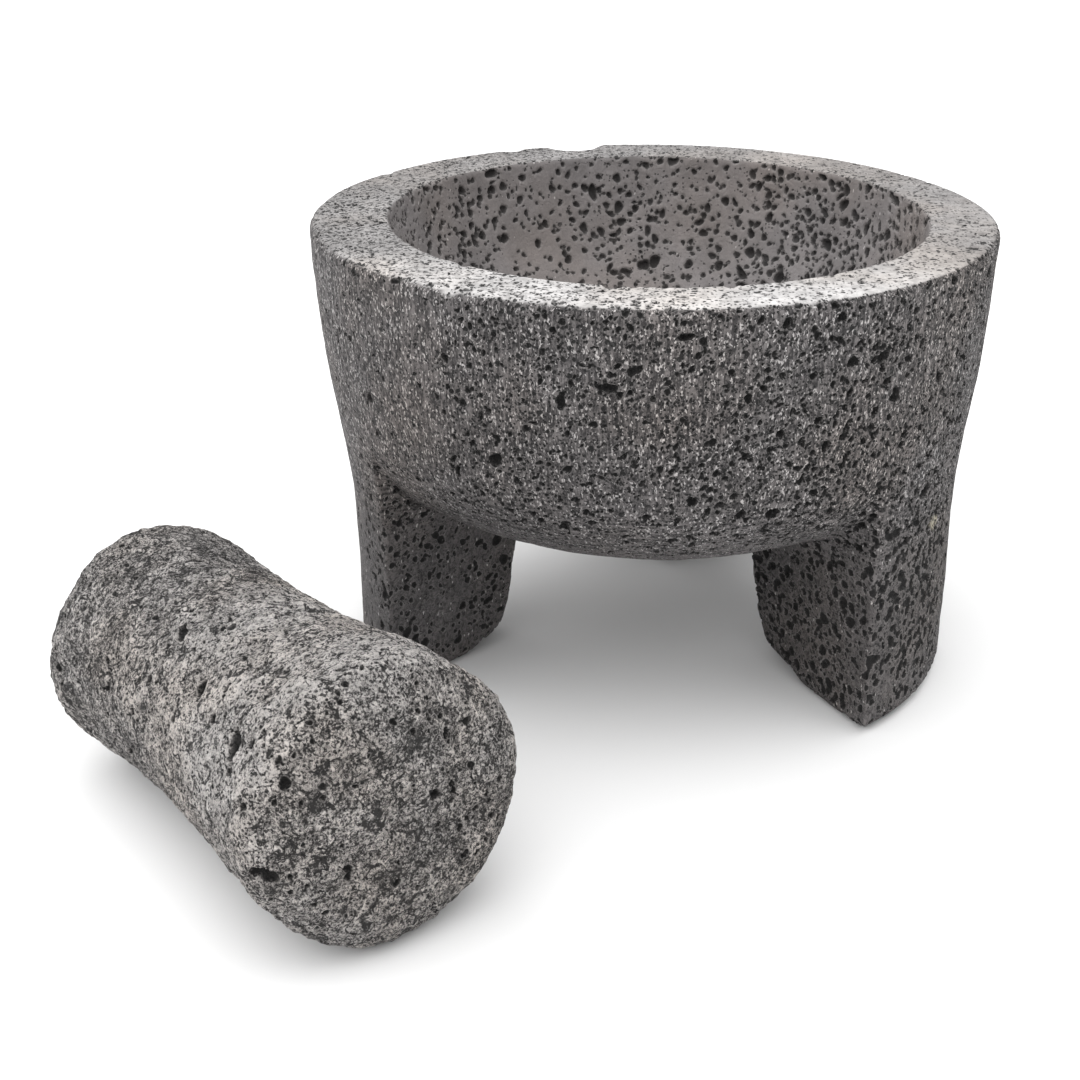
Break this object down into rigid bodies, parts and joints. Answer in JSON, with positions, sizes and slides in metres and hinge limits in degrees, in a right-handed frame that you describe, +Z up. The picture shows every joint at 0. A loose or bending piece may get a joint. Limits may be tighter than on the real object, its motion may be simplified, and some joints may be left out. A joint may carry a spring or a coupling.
{
  "type": "molcajete",
  "caption": "Low round basalt mortar with a thick flat rim, a deep round hollow and carved legs, with its loose waisted basalt pestle lying in front of it.",
  "frame": {"origin": "on the ground, under the middle of the bounding box of mortar and pestle together", "axes": "+Z up, +Y to the back of the mortar, away from the pestle's thick end, +X to the right as seen from the front; the mortar's own axis is upright at x 0.0297, y 0.0479"},
  "size_m": [0.2594, 0.2957, 0.136],
  "materials": {
    "mortar_basalt": "dark grey vesicular basalt, tool-dressed and matt, with round open pores",
    "pestle_basalt": "lighter warm grey vesicular basalt, coarsely pecked and matt"
  },
  "bodies": {
    "mortar": {"mortar": "mortar_basalt"},
    "pestle": {"pestle": "pestle_basalt"}
  },
  "joints": [
    {"name": "pestle_lift", "type": "slide", "parent": "mortar", "child": "pestle", "axis": [0, 0, 1], "range_m": [0, 0.16]}
  ]
}
